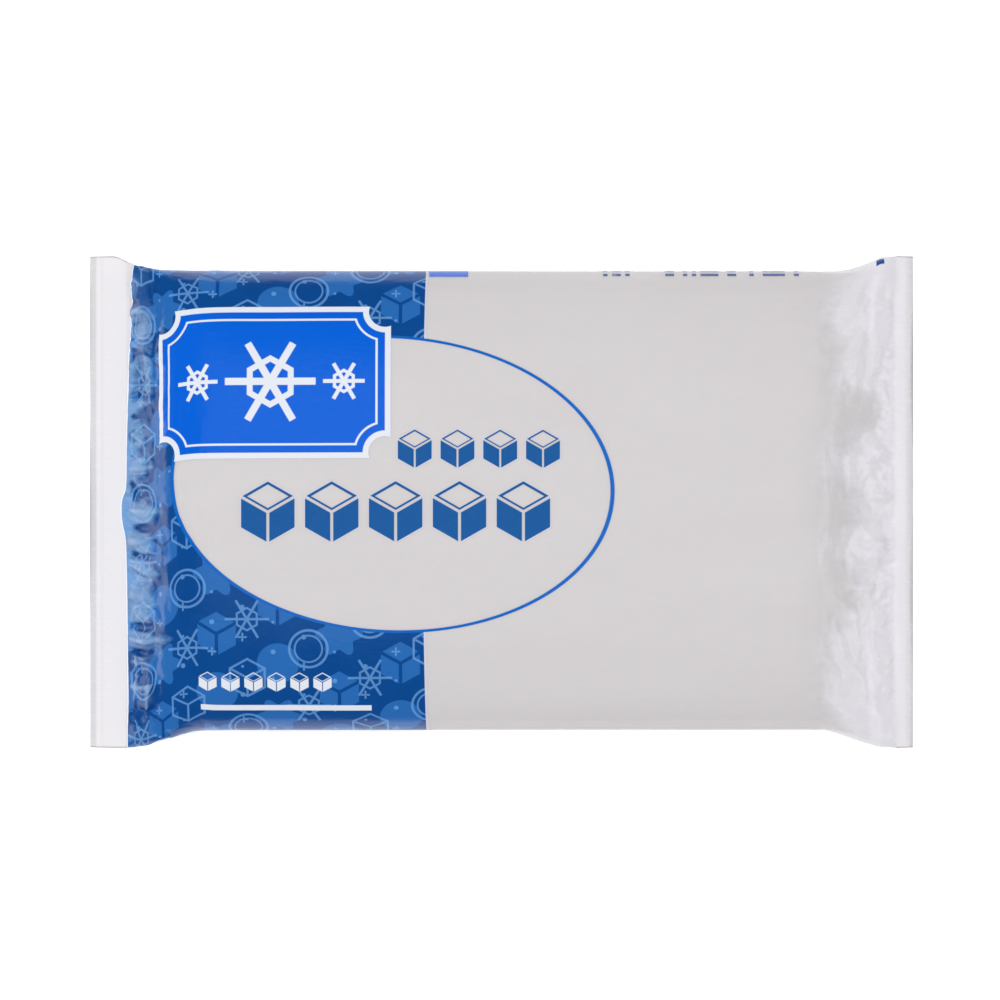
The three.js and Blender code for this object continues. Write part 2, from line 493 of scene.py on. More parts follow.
# settling of the film, by Blender's cloth at ten times the size
cloth = {
    "scale": 10,
    "frames": 30,
    "quality": 6,
    "mass": 0.05,  # of each point
    "airDamping": 2,
    "suction": 0.25,
    "stretch": 80,
    "shear": 40,
    "bend": 0.02,
    "damping": 10,  # of stretch and shear
    "bendDamping": 0.5,
    "pinStiffness": 10,
    "friction": 5,
    "solidDamping": 0.5,
    "solidMargin": 0.0004,  # gaps that the solids and the film keep
    "filmMargin": 0.0006,
    "collisionQuality": 2,
    "floorDrop": 0.001,
    "mostMove": 0.009,
}


def settle(piece, start, rest, body):
    scale = cloth["scale"]
    setPlaces(piece.data, start * scale)
    piece.shape_key_add(name="Basis")
    flat = piece.shape_key_add(name="rest")
    flat.data.foreach_set("co", np.asarray(rest * scale, np.float32).ravel())
    held = piece.vertex_groups.new(name="welds")
    held.add(np.nonzero(inset <= nought)[0].tolist(), 1, "REPLACE")
    core = bpy.data.objects.new("settlingCore", body.data.copy())
    setPlaces(core.data, placesOf(core.data) * scale)
    slab = bmesh.new()
    bmesh.ops.create_grid(slab, x_segments=1, y_segments=1, size=scale / 2)
    bmesh.ops.translate(slab, verts=slab.verts, vec=(0, 0, -cloth["floorDrop"] * scale))
    slabMesh = bpy.data.meshes.new("settlingFloor")
    slab.to_mesh(slabMesh)
    slab.free()
    under = bpy.data.objects.new("settlingFloor", slabMesh)
    for solid in (core, under):
        bpy.context.collection.objects.link(solid)
        solid.modifiers.new("Collision", "COLLISION")
        solid.collision.thickness_outer = cloth["solidMargin"] * scale
        solid.collision.cloth_friction = cloth["friction"]
        solid.collision.damping = cloth["solidDamping"]
    modifier = piece.modifiers.new("Cloth", "CLOTH")
    settings = modifier.settings
    settings.quality = cloth["quality"]
    settings.mass = cloth["mass"]
    settings.air_damping = cloth["airDamping"]
    settings.bending_model = "ANGULAR"
    settings.tension_stiffness = cloth["stretch"]
    settings.compression_stiffness = cloth["stretch"]
    settings.shear_stiffness = cloth["shear"]
    settings.bending_stiffness = cloth["bend"]
    settings.tension_damping = cloth["damping"]
    settings.compression_damping = cloth["damping"]
    settings.shear_damping = cloth["damping"]
    settings.bending_damping = cloth["bendDamping"]
    settings.vertex_group_mass = "welds"
    settings.pin_stiffness = cloth["pinStiffness"]
    settings.rest_shape_key = flat
    settings.use_pressure = True
    settings.uniform_pressure_force = -cloth["suction"]
    settings.effector_weights.gravity = 0
    modifier.collision_settings.distance_min = cloth["filmMargin"] * scale
    modifier.collision_settings.use_self_collision = False
    modifier.collision_settings.collision_quality = cloth["collisionQuality"]
    modifier.point_cache.frame_start = 1
    modifier.point_cache.frame_end = cloth["frames"] + 1
    scene = bpy.context.scene
    scene.frame_start = 1
    scene.frame_end = cloth["frames"] + 1
    for moment in range(1, cloth["frames"] + 1):
        scene.frame_set(moment)
    settled = piece.evaluated_get(bpy.context.evaluated_depsgraph_get()).to_mesh()
    places = placesOf(settled) / scale
    piece.modifiers.remove(modifier)
    piece.shape_key_clear()
    scene.frame_set(1)
    for solid in (core, under):
        bpy.data.objects.remove(solid)
    heldTo, freeFrom = film["heldCorner"]
    fromCorner = np.hypot(np.maximum(inset, 0), fromEdge)
    moved = (places - start) * smooth((fromCorner - heldTo) / (freeFrom - heldTo))[:, None]
    length = np.linalg.norm(moved, axis=1)
    places = start + moved * np.minimum(1, cloth["mostMove"] / np.maximum(length, nought))[:, None]
    print("film settled: moved", round(length.mean() / mm, 2), "most", round(length.max() / mm, 2))
    return places


filmPlaces = settle(filmTube, startPlaces, restPlaces, sugarBody)
filmPlaces[:, 2] = np.maximum(filmPlaces[:, 2], 0)
setPlaces(filmTube.data, filmPlaces)


# a piece's mesh, subdivided once, its UV map with it
def finerMesh(piece):
    finer = piece.modifiers.new("finer", "SUBSURF")
    finer.levels = finer.render_levels = 1
    finer.uv_smooth = "PRESERVE_BOUNDARIES"
    mesh = bpy.data.meshes.new_from_object(
        piece.evaluated_get(bpy.context.evaluated_depsgraph_get())
    )
    piece.modifiers.clear()
    piece.data = mesh
    mesh.name = piece.name
    for polygon in mesh.polygons:
        polygon.use_smooth = True
    return mesh


# the sugar comes up to the film and gets its grain
sugarMesh = finerMesh(sugarBody)
grains = np.array([noise.noise(Vector(place) * sugar["grainScale"]) for place in placesOf(sugarMesh)])
sugarShape = placesOf(sugarMesh)
sugarShape += normalsOf(sugarMesh) * (sugar["fatten"] + sugar["grain"] * grains)[:, None]
sugarShape[:, 2] = np.maximum(sugarShape[:, 2], sugar["offFloor"][1])
setPlaces(sugarMesh, sugarShape)


# once finer, with the small puckers, then closed at the tips
finish = {
    "pucker": 0.00022,
    "puckerNoise": ((260, 420, 2), (500, 800, 6)),
    "puckerRise": 0.004,
    "puckerReach": 0.032,
    "patch": (0.008, -0.006, 0.008, 0.0007),  # the crushed spot: along, around, size, height
    "patchNoise": (380, 9),  # waves a metre, slice of the noise
    "bead": (0.0002, 0.0007),  # height and width of the ridge along each weld's inner edge
    "creaseWidth": 0.62,  # of a crease, as a share of the fold's that it sharpens
    "creaseHeight": (0.85, 0.4),  # at the left and the right end
    "creasePower": 1.8,  # how sharp it is
    "creaseRise": 0.003,  # it reaches its height this far from the weld
    "creaseHold": 0.3,  # and keeps it for this share of its run
    "creaseZone": 0.040,
    "buckles": (  # ridges beside the left weld, along it: place, half width, ends, height in mm
        (5.0, 1.7, -61, -90, 1.1),
        (13.5, 2.4, -73, -94, 1.3),
    ),
    "buckleBend": (0.6, 6),  # how far they swing, and the wavelength over 2 pi
    "bucklePower": 1.5,
    "buckleFade": 6,  # at their ends
    "smallCreases": 60,  # at each end
    "smallSizes": ((7, 22), (2.6, 4.6), (0.5, 1.2), (-6, 6)),  # ranges of run, half, height, slant
    "leastGap": 0.0002,  # to the sugar, under a crease that dips
    "seamHeight": 0.00025,
    "seamReach": 0.004,
}
fineMesh = finerMesh(filmTube)


def vertexFlat(mesh):
    flat = np.zeros((len(mesh.vertices), 2))
    uv = np.empty(len(mesh.loops) * 2, np.float32)
    mesh.uv_layers["flatFilm"].data.foreach_get("uv", uv)
    corner = np.empty(len(mesh.loops), np.int32)
    mesh.loops.foreach_get("vertex_index", corner)
    flat[corner] = uv.reshape(-1, 2)
    return flat[:, 0], flat[:, 1]


def finePuckers(along, around):
    inset = np.minimum(along, sealToSeal - along)
    near = smooth(inset / finish["puckerRise"]) * np.exp(-np.maximum(inset, 0) / finish["puckerReach"])
    pucker = unevenness(along, around, *finish["puckerNoise"])
    patchAlong, patchAround, patchSize, patchHeight = finish["patch"]
    patch = np.exp(-((along - patchAlong) ** 2 + (around - patchAround) ** 2) / patchSize**2)
    waves, depth = finish["patchNoise"]
    crush = np.array([
        abs(noise.noise(Vector((a * waves, b * waves, depth)))) for a, b in zip(along, around)
    ])
    beadHeight, beadWidth = finish["bead"]
    bead = sum(np.exp(-((along - weld) / beadWidth) ** 2) for weld in (0, sealToSeal))
    return near * finish["pucker"] * pucker + patch * patchHeight * crush + bead * beadHeight


# short sharp creases beside one weld
def smallCreases():
    half = flatWidth / mm / 2
    return tuple(
        shortFold(number, rng.uniform(-half, half), finish["smallSizes"])
        for number in range(finish["smallCreases"])
    )


def creasesOf(folds, inset, level):
    height = np.zeros(inset.shape)
    for start, run, half, rise, slant in folds:
        along = inset / (run * mm)
        offset = abs(level - (start + slant * along) * mm) / (half * mm * finish["creaseWidth"])
        ridge = np.clip(1 - offset, 0, 1) ** finish["creasePower"]
        fade = smooth(inset / finish["creaseRise"])
        fade = fade * (1 - smooth((along - finish["creaseHold"]) / (1 - finish["creaseHold"])))
        height += rise * mm * ridge * fade
    return height


def sharpCreases(along, around):
    onTop, share = shareOver(around)
    level = share * flatWidth - flatWidth / 2
    height = np.zeros(along.shape)
    leftCreases, rightCreases = leftFolds + smallCreases(), rightFolds + smallCreases()
    for side, folds, inset in ((0, leftCreases, along), (1, rightCreases, sealToSeal - along)):
        near = onTop & (inset > 0) & (inset < finish["creaseZone"])
        height[near] = creasesOf(folds, inset[near], level[near]) * finish["creaseHeight"][side]
    swing, wavelength = finish["buckleBend"]
    fade = finish["buckleFade"]
    for place, half, top, bottom, rise in finish["buckles"]:
        bend = swing * np.sin(level / mm / wavelength)
        ridge = np.clip(1 - abs(along / mm - place - bend) / half, 0, 1) ** finish["bucklePower"]
        ends = smooth((top - level / mm) / fade) * smooth((level / mm - bottom) / fade)
        height += np.where(onTop, rise * mm * ridge * ends, 0)
    return height


# the lap seam: the film beside it stands a little off the floor
def seamRise(around):
    beyond = flatWidth - abs(around) - film["seamHalf"]
    fade = np.exp(-np.maximum(beyond, 0) / finish["seamReach"])
    return finish["seamHeight"] * smooth(beyond / film["seamStep"]) * fade


def gapsTo(solid, places):
    return np.array([solid.find_nearest(Vector(place))[3] for place in places])


def keepOnPoints(mesh, name, values):
    mesh.attributes.new(name, "FLOAT", "POINT").data.foreach_set("value", values.astype(np.float32))


fineAlong, fineAround = vertexFlat(fineMesh)
finePlaces = placesOf(fineMesh)
sugarTree = BVHTree.FromObject(sugarBody, bpy.context.evaluated_depsgraph_get())
gapUnder = gapsTo(sugarTree, finePlaces)
creases = sharpCreases(fineAlong, fineAround)
relief = finePuckers(fineAlong, fineAround) + creases
relief = np.maximum(relief, -np.maximum(gapUnder - finish["leastGap"], 0))
relief -= seamRise(fineAround)
finePlaces += normalsOf(fineMesh) * relief[:, None]
finePlaces[:, 2] = np.maximum(finePlaces[:, 2], 0)
setPlaces(fineMesh, finePlaces)
closing = bmesh.new()
closing.from_mesh(fineMesh)
tips = bmesh.ops.holes_fill(closing, edges=[edge for edge in closing.edges if edge.is_boundary])
for face in tips["faces"]:
    face.smooth = False
    for edge in face.edges:
        edge.smooth = False
print("tips closed:", len(tips["faces"]), "open edges:", sum(edge.is_boundary for edge in closing.edges))
closing.to_mesh(fineMesh)
closing.free()

# for the film's finish: how far it stands off the sugar, and how far creases lift it
keepOnPoints(fineMesh, "standOff", gapsTo(sugarTree, finePlaces))
keepOnPoints(fineMesh, "raised", creases / mm)
print("film finished:", len(fineMesh.polygons), "faces")


# colours as sRGB hex, made linear
def colour(code):
    parts = [int(code[place:place + 2], 16) / 255 for place in (1, 3, 5)]
    return tuple(p / 12.92 if p <= 0.04045 else ((p + 0.055) / 1.055) ** 2.4 for p in parts) + (1,)


# adds a node: its kind with its operation after a dot, then its inputs in order (None
# leaves one alone), then its settings
def add(tree, kind, *values, **settings):
    kind, _, operation = kind.partition(".")
    node = tree.nodes.new("ShaderNode" + kind)
    if operation:
        node.operation = operation
    for name, value in settings.items():
        setattr(node, name, value)
    for socket, value in zip([s for s in node.inputs if s.enabled], values):
        if isinstance(value, bpy.types.Node):
            value = next(s for s in value.outputs if s.enabled)
        if isinstance(value, bpy.types.NodeSocket):
            tree.links.new(value, socket)
        elif value is not None:
            socket.default_value = value
    return node


def newMaterial(name):
    material = bpy.data.materials.new(name)
    material.use_nodes = True
    material.node_tree.nodes.clear()
    return material, material.node_tree


# the print, in millimetres on the flat film. Places are where they show from above.
def flatMm(xMm, yMm):
    along, around = flatAt(xMm * mm, yMm * mm)
    return along / mm, around / mm


printing = {
    "milk": "#e4e1e3",
    "milkShade": "#dbd7d9",
    "milkApartSheen": "#e9e7ed",  # painted light: paler where the film stands off the sugar, as light off its inner face and from behind, which also lifts the shade on its slopes
    "leftFin": "#efedf0",  # two layers thick; the right one a shade darker, painted shade, as the light falls from the left
    "rightFin": "#edebef",
    "leftTipShade": "#dddbde",  # painted shade on the fins' outer edges, which bend down away from the light
    "rightTipShade": "#d3d1d4",
    "clearAlpha": 0.55,
    "denseAlpha": 0.82,
    "finSoft": (0.4, 0.6),  # half the width over which each fin's tone starts
    "foldShadeLine": (-10.4, 1.3, 0.25),  # painted shade of a soft fold along the left fin: place, half width, strength
    "leftStrip": (-13.4, -12.6),  # where the painted shade on the left fin's outer edge is full, and where it starts
    # where that on the right fin's outer edge starts, and where it is full
    "rightStrip": (sealToSeal / mm + 3.2, sealToSeal / mm + 6.4),
    "seam": (flatWidth / mm, film["seamHalf"] / mm),  # the lap seam's middle, half width
    "navy": "#0b4c92",
    "navyShade": "#084185",
    "bright": "#045fd4",
    "line": "#0d63bd",
    "cubes": "#115699",
    "backInk": "#0a3f86",
    "tint": "#2f72bd",
    "tintLine": "#6ea3dd",
    "pale": "#dfe3ec",
    "standOffSheen": "#8fbce8",  # painted sheen on ink that stands off the sugar
    "glint": "#bcd0f2",  # painted highlight on the crests of creases
    "weldLine": "#fbfbfd",
    "underprint": "#cdd2ea",  # white ink under the colours, which shows at their edges
    "underprintEdge": 0.8,
    "underprintFrom": 20,  # along the film, where the field's starts
    "underprintShare": (0.75, 0.6, 0.3),  # round the field, round the cubes, where it is full
    "navyEnd": flatMm(-32.8, 0)[0],
    "navyBow": (97, 1.1),  # how far round the film its end bows, and how far it is out there
    "weldHalf": 0.25,  # half the width of the white line along the left weld
    "reach": 104,  # of the two curves below, each way from the middle
    "waveSpan": 10,  # from 0 to 1 of the first one
    # along the left weld from the near side: the field's edge (0.5 is on the weld) and how
    # strong the painted sheen is
    "weldWave": (
        (-104, 0.57), (-31, 0.5), (-17, 0.47), (-2, 0.26), (8, 0.47), (25, 0.5), (71, 0.65), (104, 1.0)
    ),
    "sheenShare": (
        (-104, 0.2), (-92, 0.12), (-66, 0.15), (-60, 0.6), (-50, 0.85), (-20, 0.95), (12, 1.0),
        (30, 1.0), (68, 1.0), (80, 0.5), (92, 0.1), (104, 0.3),
    ),
    "panel": (*flatMm(-46.4, 7.7), 89.6, 60.3),  # centre, then half length and half width
    "panelTilt": -0.06,  # radians
    "panelLine": (0.6, 0.6),  # distance outside the panel's edge, half width
    "plaque": (*flatMm(-97.0, 50.6), 46.7, 29.5),
    "plaqueScoop": 9,  # radius of its corners
    "plaqueMargin": 2.4,
    "plaqueLine": (3.4, 0.45),  # distance inside its edge, half width
    "crystal": (18.5, 1.5),  # radius, half the width of its arms
    "sideCrystals": (30, 8.5, 0.8),  # distance from the crystal, radius, half width
    "bigCubes": (*flatMm(-44.2, -4.0), 5, 26.0, 12.6),  # centre, count, pitch, radius
    "smallCubes": (*flatMm(-9.2, 22.3), 4, 17.4, 8.0),
    "tinyCubes": (*flatMm(-99.5, -75.6), 6, 9.4, 4.3),
    "rule": (*flatMm(-90.8, -86.6), 35, 1.3),
    "fills": (25, 0.1, 0.2),  # lattices of motifs: pitch, and shifts in pitches
    "outlines": (25, 0.6, 0.45),
    "dots": (12.5, 0.35, 0.0),
    "fillShare": 0.7,
    "outlineShare": 0.6,
    "backRules": (flatMm(83, 0)[0], 102, 42, 5.2),
    "backRows": (96.6, 4.0, 1.0),  # where they start, pitch, half width
    "backBits": (0.55, 0.42, 4),  # bits a millimetre, share left bare, sharpness
    "backBadge": (flatMm(-22, 0)[0], 108, 8, 11),
    "backMark": (*flatMm(160.8, 102.4), 2.4, 1.6),
    "edgeSoft": 0.12,  # half the width of a shape's edge
    "latticeSoft": 0.15,
    "kindMargin": 0.3,  # how far a cell's number may be from its kind's
}
motifs = {
    "flower": (8.2, 1.6, 6),  # radius, depth and number of its petals
    "disc": 8.6,
    "solidCube": (9.2, 0.7),  # radius, half the gap between its faces
    "rings": ((7.8, 0.5), (5.6, 0.35)),  # radius, half width
    "lineCube": (8.2, 0.45),
    "lineCrystal": (9.0, 0.5),
    "spark": (1.1, 0.8, 4),
    "dots": (1.0, 0.6),
    "crystalRing": (0.52, 0.8),  # of a crystal: its size and its line, as shares of the arms'
    "cubeGap": 0.045,  # half the gap between a cube's faces, as a share of its radius
    "lidDrop": 0.13,  # and of its upper face, how far it is down and inside the edge
    "lidRim": 0.09,
}
cosine30, tangent30 = math.cos(math.pi / 6), math.tan(math.pi / 6)


# 1 inside a shape, 0 outside, from a node that gives the distance outside it
def inside(tree, distance, soft=printing["edgeSoft"]):
    return add(tree, "MapRange", distance, -soft, soft, 1, 0)


# values brought together two at a time. The MAXIMUM of distances is where the shapes
# overlap and the MINIMUM is the shapes together; of masks it is the other way round.
def combined(tree, operation, *values):
    result = values[0]
    for value in values[1:]:
        result = add(tree, "Math." + operation, result, value)
    return result


# one ink over what is under it, where the mask is 1. Either is a node, or a name in the
# table of the print.
def printOver(tree, under, ink, mask):
    under, ink = [colour(printing[one]) if isinstance(one, str) else one for one in (under, ink)]
    return add(tree, "Mix", mask, under, ink, data_type="RGBA")


def offBand(tree, x, half):
    return add(tree, "Math.SUBTRACT", add(tree, "Math.ABSOLUTE", x), half)


def offBox(tree, x, y, halfLong, halfWide):
    return combined(tree, "MAXIMUM", offBand(tree, x, halfLong), offBand(tree, y, halfWide))


def fromMiddle(tree, x, y):
    square = add(tree, "Math.MULTIPLY_ADD", x, x, add(tree, "Math.MULTIPLY", y, y))
    return add(tree, "Math.SQRT", square)


# a round shape whose edge runs out in petals or points
def offPetals(tree, x, y, radius, depth, count):
    angle = add(tree, "Math.MULTIPLY", add(tree, "Math.ARCTAN2", y, x), count)
    petals = add(tree, "Math.MULTIPLY_ADD", add(tree, "Math.COSINE", angle), -depth, fromMiddle(tree, x, y))
    return add(tree, "Math.SUBTRACT", petals, radius)


# a hexagon that stands on a corner, which a cube seen from its corner fills
def offHexagon(tree, x, y, radius):
    wide = add(tree, "Math.ABSOLUTE", x)
    high = add(tree, "Math.MULTIPLY", add(tree, "Math.ABSOLUTE", y), cosine30)
    slanted = add(tree, "Math.MULTIPLY_ADD", wide, 0.5, high)
    return add(tree, "Math.SUBTRACT", combined(tree, "MAXIMUM", wide, slanted), radius * cosine30)


# the three edges that meet at a cube's near corner
def offCubeEdges(tree, x, y, half):
    wide = add(tree, "Math.ABSOLUTE", x)
    stem = combined(tree, "MAXIMUM", wide, y)
    arm = add(tree, "Math.MULTIPLY_ADD", wide, -tangent30, y)
    arms = add(tree, "Math.MULTIPLY", add(tree, "Math.ABSOLUTE", arm), cosine30)
    return add(tree, "Math.SUBTRACT", combined(tree, "MINIMUM", stem, arms), half)


# a six-armed crystal with a small hexagon round its middle
def offCrystal(tree, x, y, radius, half):
    level = add(tree, "Math.ABSOLUTE", y)
    part = add(tree, "Math.MULTIPLY", x, cosine30)
    risen = add(tree, "Math.ABSOLUTE", add(tree, "Math.MULTIPLY_ADD", y, 0.5, part))
    fallen = add(tree, "Math.ABSOLUTE", add(tree, "Math.MULTIPLY_ADD", y, -0.5, part))
    arms = add(tree, "Math.SUBTRACT", combined(tree, "MINIMUM", level, risen, fallen), half)
    beyond = add(tree, "Math.SUBTRACT", fromMiddle(tree, x, y), radius)
    arms = combined(tree, "MAXIMUM", arms, beyond)
    ringSize, ringLine = motifs["crystalRing"]
    ring = offBand(tree, offHexagon(tree, x, y, radius * ringSize), half * ringLine)
    return combined(tree, "MINIMUM", arms, ring)


# a row of things, as the distance from the nearest one's middle
def rowPlace(tree, x, count, pitch):
    half = 0 if count % 2 else 0.5
    shifted = add(tree, "Math.MULTIPLY_ADD", x, 1 / pitch, half)
    most = (count - 1) / 2
    nearest = add(tree, "Clamp", add(tree, "Math.ROUND", shifted), half - most, half + most)
    return add(tree, "Math.MULTIPLY", add(tree, "Math.SUBTRACT", shifted, nearest), pitch)


# the film's finish, with the sizes of its patterns in millimetres, along and around it
filmFinish = {
    "creaseSize": (4.55, 1.92),
    "creaseNoise": (4, 0.6),  # octaves, roughness
    "creaseBump": (0.3, 0.0004),  # strength, height in metres
    "shine": (0.16, 0.26),  # roughness, off and on the creases
    "shineRange": (0.3, 0.7),  # of their noise, over which it changes
    "ior": 1.51,  # of polyethylene
    "patchSize": (14.3, 5.26),
    "patchNoise": (4, 0.55, 2, 0.8),  # octaves, roughness, lacunarity, distortion
    "patchGaps": (0.0006, 0.0018),  # the patches come to their depth between these gaps
    "milkStands": (0.0003, 0.0034, 0.002),  # gaps where the milk's painted light starts and is full, patches
    "inkStands": (0.0009, 0.0028, 0.006),  # and the inks'
    "creaseGap": 0.0009,  # that a crease adds for each millimetre of its height
    "lineSize": (11.1, 3.03),
    "lineNoise": (2, 0.5, 2, 0.5),
    "lineHalf": 0.03,
    "lineShare": 0.2,
    "cloudSize": (83, 25),
    "cloudOctaves": 4,
    "navyShadeNoise": (60, 3),  # waves a metre, octaves
    "crest": (0.5, 1.4, 0.85),  # height of a crease where its painted highlight starts and is full, strength
    # shares of the painted sheen and of the painted highlights over the ink
    "sheenShare": 0.55,
    "glintShare": 0.35,
}


def filmNoise(tree, flatMap, size, *settings):
    scale = (1 / (size[0] * mm), 1 / (size[1] * mm), 1)
    return add(tree, "TexNoise", add(tree, "VectorMath.MULTIPLY", flatMap, scale), 1, *settings)


# a material with the flat film's map in metres, and along and around it in millimetres
def filmMaterial(name):
    material, tree = newMaterial(name)
    flatMap = add(tree, "UVMap", uv_map="flatFilm")
    split = add(tree, "SeparateXYZ", add(tree, "VectorMath.SCALE", flatMap, 1 / mm))
    return material, tree, flatMap, split.outputs[0], split.outputs[1]


# blown polyethylene film: milky, glossy, with fine creases and the press of the grains
def filmSurface(tree, flatMap, base, alpha):
    creases = filmNoise(tree, flatMap, filmFinish["creaseSize"], *filmFinish["creaseNoise"])
    bump = add(tree, "Bump", *filmFinish["creaseBump"], None, creases)
    shine = add(tree, "MapRange", creases, *filmFinish["shineRange"], *filmFinish["shine"])
    shader = add(tree, "BsdfPrincipled")
    for name, value in (("Base Color", base), ("Alpha", alpha), ("Roughness", shine), ("Normal", bump)):
        tree.links.new(next(s for s in value.outputs if s.enabled), shader.inputs[name])
    shader.inputs["IOR"].default_value = filmFinish["ior"]
    add(tree, "OutputMaterial", shader)


# a value from 0 to 1 that varies along the welds, by places round the film
def byPlace(tree, around, places):
    reach = printing["reach"]
    node = add(tree, "FloatCurve", 1, add(tree, "MapRange", around, -reach, reach, 0, 1))
    curve = node.mapping.curves[0]
    for place, value in places[1:-1]:
        curve.points.new((place + reach) / (2 * reach), value)
    curve.points[0].location = (0, places[0][1])
    curve.points[-1].location = (1, places[-1][1])
    node.mapping.update()
    return node


# 0 where the film lies on the sugar, 1 where it stands off it, in ragged patches: from the
# gaps (metres) where it starts and is full, and the patches' depth
def standingOff(tree, flatMap, start, full, depth):
    apart = add(tree, "Attribute", attribute_name="standOff").outputs["Fac"]
    patch = filmNoise(tree, flatMap, filmFinish["patchSize"], *filmFinish["patchNoise"])
    ragged = add(tree, "MapRange", apart, *filmFinish["patchGaps"], 0, depth)
    apart = add(tree, "Math.MULTIPLY_ADD", add(tree, "Math.SUBTRACT", patch, 0.5), ragged, apart)
    raised = add(tree, "Attribute", attribute_name="raised").outputs["Fac"]
    apart = add(tree, "Math.MULTIPLY_ADD", raised, filmFinish["creaseGap"], apart)
    return add(tree, "MapRange", apart, start, full, 0, 1)


# fine lines of creased film, painted pale as highlights
def creaseHighlights(tree, flatMap, standOffSheen):
    lines = filmNoise(tree, flatMap, filmFinish["lineSize"], *filmFinish["lineNoise"])
    lines = add(tree, "Math.ABSOLUTE", add(tree, "Math.SUBTRACT", lines, 0.5))
    lines = add(tree, "MapRange", lines, 0, filmFinish["lineHalf"], 1, 0)
    return add(tree, "Math.MULTIPLY", add(tree, "Math.MULTIPLY", lines, standOffSheen), filmFinish["lineShare"])


# the unprinted film's colour and opacity: painted light where it stands off the sugar, milky in
# the fins, which are two layers thick, with painted shade on their outer edges and along a fold
# of the left one, and the soft unevenness of a blown film. Then how far it stands off.
def milkOf(tree, flatMap, along, around):
    standOffSheen = standingOff(tree, flatMap, *filmFinish["milkStands"])
    cloud = filmNoise(tree, flatMap, filmFinish["cloudSize"], filmFinish["cloudOctaves"])
    milk = printOver(tree, "milk", "milkShade", cloud)
    # painted light where the film stands off the sugar
    milk = printOver(tree, milk, "milkApartSheen", standOffSheen)
    middle, half = printing["seam"]
    fromSeam = add(tree, "Math.SUBTRACT", middle, add(tree, "Math.ABSOLUTE", around))
    milk = printOver(tree, milk, "milkShade", inside(tree, add(tree, "Math.SUBTRACT", fromSeam, half)))
    leftSoft, rightSoft = printing["finSoft"]
    rightWeld = sealToSeal / mm
    leftFin = add(tree, "MapRange", along, -leftSoft, leftSoft, 1, 0)
    rightFin = add(tree, "MapRange", along, rightWeld - rightSoft, rightWeld + rightSoft, 0, 1)
    milk = printOver(tree, milk, "leftFin", leftFin)
    milk = printOver(tree, milk, "rightFin", rightFin)
    # painted shade on the fins' outer edges
    leftTipShade = add(tree, "MapRange", along, *printing["leftStrip"], 1, 0)
    rightTipShade = add(tree, "MapRange", along, *printing["rightStrip"], 0, 1)
    # painted shade along a soft fold in the left fin
    place, half, strength = printing["foldShadeLine"]
    foldShadeLine = add(tree, "Math.ABSOLUTE", add(tree, "Math.SUBTRACT", along, place))
    foldShadeLine = add(tree, "MapRange", foldShadeLine, half, 0, 0, strength)
    milk = printOver(tree, milk, "leftTipShade", combined(tree, "MAXIMUM", leftTipShade, foldShadeLine))
    milk = printOver(tree, milk, "rightTipShade", rightTipShade)
    dense = combined(tree, "MAXIMUM", standOffSheen, leftFin, rightFin)
    alpha = add(tree, "MapRange", dense, 0, 1, printing["clearAlpha"], printing["denseAlpha"])
    return milk, alpha, standOffSheen


def plainFilm():
    material, tree, flatMap, along, around = filmMaterial("milkyPolyethyleneFilm")
    milk, alpha, standOffSheen = milkOf(tree, flatMap, along, around)
    # painted highlights along fine creases where it stands off, in the white of the weld line
    milk = printOver(tree, milk, "weldLine", creaseHighlights(tree, flatMap, standOffSheen))
    filmSurface(tree, flatMap, milk, alpha)
    return material


def centred(tree, along, around, place):
    return add(tree, "Math.SUBTRACT", along, place[0]), add(tree, "Math.SUBTRACT", around, place[1])


def boxMask(tree, along, around, box):
    x, y = centred(tree, along, around, box)
    return inside(tree, offBox(tree, x, y, *box[2:]))


# navy field between the weld, with its wavy edge, and the plain half, then the white line
# along the weld and the white ink under the field, which shows past it
def navyField(tree, along, around):
    span, (bowReach, bowDepth) = printing["waveSpan"], printing["navyBow"]
    wave = byPlace(tree, around, printing["weldWave"])
    wave = add(tree, "Math.MULTIPLY_ADD", wave, span, -span / 2)
    fromWeld = add(tree, "Math.SUBTRACT", along, wave)
    bow = add(tree, "Math.POWER", add(tree, "Math.MULTIPLY", around, 1 / bowReach), 2)
    bow = add(tree, "Math.MULTIPLY_ADD", bow, bowDepth, printing["navyEnd"])
    toPlain = add(tree, "Math.SUBTRACT", along, bow)
    toWeld = add(tree, "Math.MULTIPLY", fromWeld, -1)
    field = inside(tree, combined(tree, "MAXIMUM", toWeld, toPlain))
    weldLine = inside(tree, offBand(tree, fromWeld, printing["weldHalf"]))
    beyond = add(tree, "Math.SUBTRACT", toPlain, printing["underprintEdge"])
    before = add(tree, "Math.SUBTRACT", printing["underprintFrom"], along)
    return field, weldLine, inside(tree, combined(tree, "MAXIMUM", beyond, before))


# pale oval panel and the line round it
def ovalPanel(tree, along, around):
    x, y = centred(tree, along, around, printing["panel"])
    halfLong, halfWide = printing["panel"][2:]
    cosine, sine = math.cos(printing["panelTilt"]), math.sin(printing["panelTilt"])
    lengthwise = add(tree, "Math.MULTIPLY_ADD", x, cosine, add(tree, "Math.MULTIPLY", y, sine))
    y = add(tree, "Math.MULTIPLY_ADD", y, cosine, add(tree, "Math.MULTIPLY", x, -sine))
    x = add(tree, "Math.MULTIPLY", lengthwise, halfWide / halfLong)
    distance = add(tree, "Math.SUBTRACT", fromMiddle(tree, x, y), halfWide)
    lineOutside, lineHalf = printing["panelLine"]
    line = offBand(tree, add(tree, "Math.SUBTRACT", distance, lineOutside), lineHalf)
    return inside(tree, distance), inside(tree, line)


